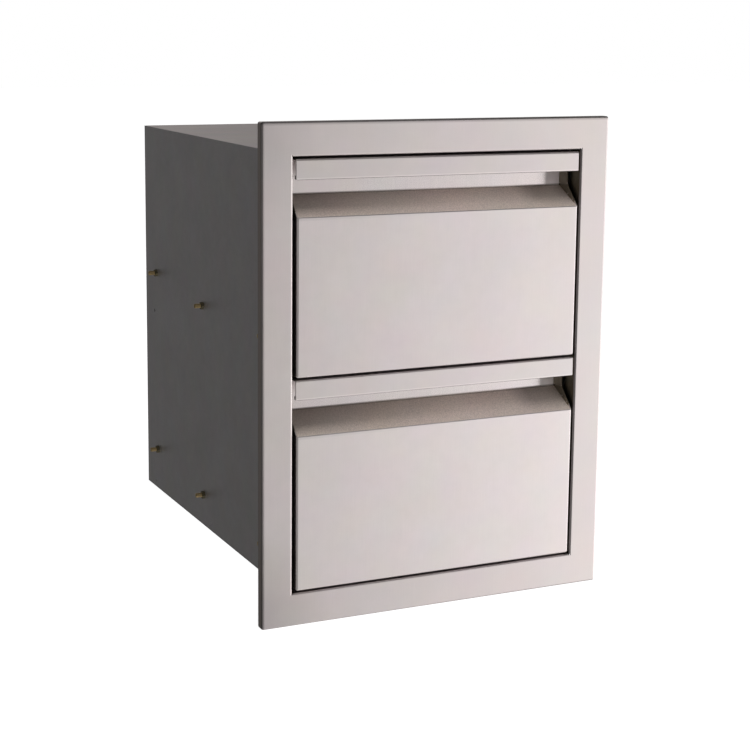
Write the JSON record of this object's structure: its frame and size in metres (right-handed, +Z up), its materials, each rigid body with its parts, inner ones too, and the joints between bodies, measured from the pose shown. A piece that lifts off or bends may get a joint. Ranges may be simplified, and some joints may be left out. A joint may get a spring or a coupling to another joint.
{
  "type": "outdoor kitchen drawer unit",
  "caption": "Stainless drop-in unit for an outdoor kitchen: sliding drawers with recessed finger pulls in a framed sheet cabinet, on ball bearing slides.",
  "frame": {"origin": "in the plane where the frame's rolled lip seats on the island's front, on the centre line, halfway up the lip's lower seat strip", "axes": "+X to the right as seen from the front, +Y to the back, into the island, +Z up"},
  "size_m": [0.4318, 0.5227, 0.5613],
  "materials": {
    "face_steel": "brushed stainless steel, fine vertical grain",
    "front_steel": "brushed stainless steel, fine grain",
    "cabinet_steel": "mill finish stainless sheet",
    "box_steel": "mill finish stainless sheet",
    "slide_zinc": "bright zinc plate",
    "cage_steel": "bare steel strip with polished balls",
    "screw_zinc": "zinc plate",
    "bolt_yellow_zinc": "yellow zinc plate",
    "nut_steel": "dark zinc plate",
    "lever_plastic": "moulded black plastic",
    "buffer_rubber": "black rubber"
  },
  "bodies": {
    "cabinet": {"face_frame": "face_steel", "cabinet_side_left": "cabinet_steel", "cabinet_side_right": "cabinet_steel", "cabinet_top": "cabinet_steel", "cabinet_bottom": "cabinet_steel", "cabinet_back": "cabinet_steel", "slide_outer_lower_left": "slide_zinc", "slide_outer_lower_right": "slide_zinc", "slide_outer_upper_left": "slide_zinc", "slide_outer_upper_right": "slide_zinc", "slide_bolts_left": "bolt_yellow_zinc", "slide_bolts_right": "bolt_yellow_zinc", "slide_nuts_left": "nut_steel", "slide_nuts_right": "nut_steel", "slide_buffers": "buffer_rubber"},
    "drawer_lower": {"drawer_front_lower": "front_steel", "drawer_tub_lower": "box_steel", "drawer_liner_lower": "box_steel", "drawer_back_lower": "box_steel", "runner_screws_lower": "screw_zinc", "front_screws_lower": "screw_zinc", "release_levers_lower": "lever_plastic", "slide_runner_lower_left": "slide_zinc", "slide_runner_lower_right": "slide_zinc"},
    "drawer_upper": {"drawer_front_upper": "front_steel", "drawer_tub_upper": "box_steel", "drawer_liner_upper": "box_steel", "drawer_back_upper": "box_steel", "runner_screws_upper": "screw_zinc", "front_screws_upper": "screw_zinc", "release_levers_upper": "lever_plastic", "slide_runner_upper_left": "slide_zinc", "slide_runner_upper_right": "slide_zinc"},
    "middle_lower_left": {"slide_middle_lower_left": "slide_zinc"},
    "outer_balls_lower_left": {"outer_cage_lower_left": "cage_steel"},
    "inner_balls_lower_left": {"inner_cage_lower_left": "cage_steel"},
    "middle_lower_right": {"slide_middle_lower_right": "slide_zinc"},
    "outer_balls_lower_right": {"outer_cage_lower_right": "cage_steel"},
    "inner_balls_lower_right": {"inner_cage_lower_right": "cage_steel"},
    "middle_upper_left": {"slide_middle_upper_left": "slide_zinc"},
    "outer_balls_upper_left": {"outer_cage_upper_left": "cage_steel"},
    "inner_balls_upper_left": {"inner_cage_upper_left": "cage_steel"},
    "middle_upper_right": {"slide_middle_upper_right": "slide_zinc"},
    "outer_balls_upper_right": {"outer_cage_upper_right": "cage_steel"},
    "inner_balls_upper_right": {"inner_cage_upper_right": "cage_steel"}
  },
  "joints": [
    {"name": "drawer_lower_slide", "type": "slide", "parent": "cabinet", "child": "drawer_lower", "axis": [0, -1, 0], "range_m": [0, 0.457]},
    {"name": "drawer_upper_slide", "type": "slide", "parent": "cabinet", "child": "drawer_upper", "axis": [0, -1, 0], "range_m": [0, 0.457]},
    {"name": "middle_lower_left_slide", "type": "slide", "parent": "cabinet", "child": "middle_lower_left", "axis": [0, -1, 0], "range_m": [0, 0.2285]},
    {"name": "outer_balls_lower_left_slide", "type": "slide", "parent": "cabinet", "child": "outer_balls_lower_left", "axis": [0, -1, 0], "range_m": [0, 0.11425]},
    {"name": "inner_balls_lower_left_slide", "type": "slide", "parent": "cabinet", "child": "inner_balls_lower_left", "axis": [0, -1, 0], "range_m": [0, 0.34275]},
    {"name": "middle_lower_right_slide", "type": "slide", "parent": "cabinet", "child": "middle_lower_right", "axis": [0, -1, 0], "range_m": [0, 0.2285]},
    {"name": "outer_balls_lower_right_slide", "type": "slide", "parent": "cabinet", "child": "outer_balls_lower_right", "axis": [0, -1, 0], "range_m": [0, 0.11425]},
    {"name": "inner_balls_lower_right_slide", "type": "slide", "parent": "cabinet", "child": "inner_balls_lower_right", "axis": [0, -1, 0], "range_m": [0, 0.34275]},
    {"name": "middle_upper_left_slide", "type": "slide", "parent": "cabinet", "child": "middle_upper_left", "axis": [0, -1, 0], "range_m": [0, 0.2285]},
    {"name": "outer_balls_upper_left_slide", "type": "slide", "parent": "cabinet", "child": "outer_balls_upper_left", "axis": [0, -1, 0], "range_m": [0, 0.11425]},
    {"name": "inner_balls_upper_left_slide", "type": "slide", "parent": "cabinet", "child": "inner_balls_upper_left", "axis": [0, -1, 0], "range_m": [0, 0.34275]},
    {"name": "middle_upper_right_slide", "type": "slide", "parent": "cabinet", "child": "middle_upper_right", "axis": [0, -1, 0], "range_m": [0, 0.2285]},
    {"name": "outer_balls_upper_right_slide", "type": "slide", "parent": "cabinet", "child": "outer_balls_upper_right", "axis": [0, -1, 0], "range_m": [0, 0.11425]},
    {"name": "inner_balls_upper_right_slide", "type": "slide", "parent": "cabinet", "child": "inner_balls_upper_right", "axis": [0, -1, 0], "range_m": [0, 0.34275]}
  ],
  "couplings": [
    {"joint": "middle_lower_left_slide", "follows": "drawer_lower_slide", "ratio": 0.5},
    {"joint": "outer_balls_lower_left_slide", "follows": "drawer_lower_slide", "ratio": 0.25},
    {"joint": "inner_balls_lower_left_slide", "follows": "drawer_lower_slide", "ratio": 0.75},
    {"joint": "middle_lower_right_slide", "follows": "drawer_lower_slide", "ratio": 0.5},
    {"joint": "outer_balls_lower_right_slide", "follows": "drawer_lower_slide", "ratio": 0.25},
    {"joint": "inner_balls_lower_right_slide", "follows": "drawer_lower_slide", "ratio": 0.75},
    {"joint": "middle_upper_left_slide", "follows": "drawer_upper_slide", "ratio": 0.5},
    {"joint": "outer_balls_upper_left_slide", "follows": "drawer_upper_slide", "ratio": 0.25},
    {"joint": "inner_balls_upper_left_slide", "follows": "drawer_upper_slide", "ratio": 0.75},
    {"joint": "middle_upper_right_slide", "follows": "drawer_upper_slide", "ratio": 0.5},
    {"joint": "outer_balls_upper_right_slide", "follows": "drawer_upper_slide", "ratio": 0.25},
    {"joint": "inner_balls_upper_right_slide", "follows": "drawer_upper_slide", "ratio": 0.75}
  ]
}
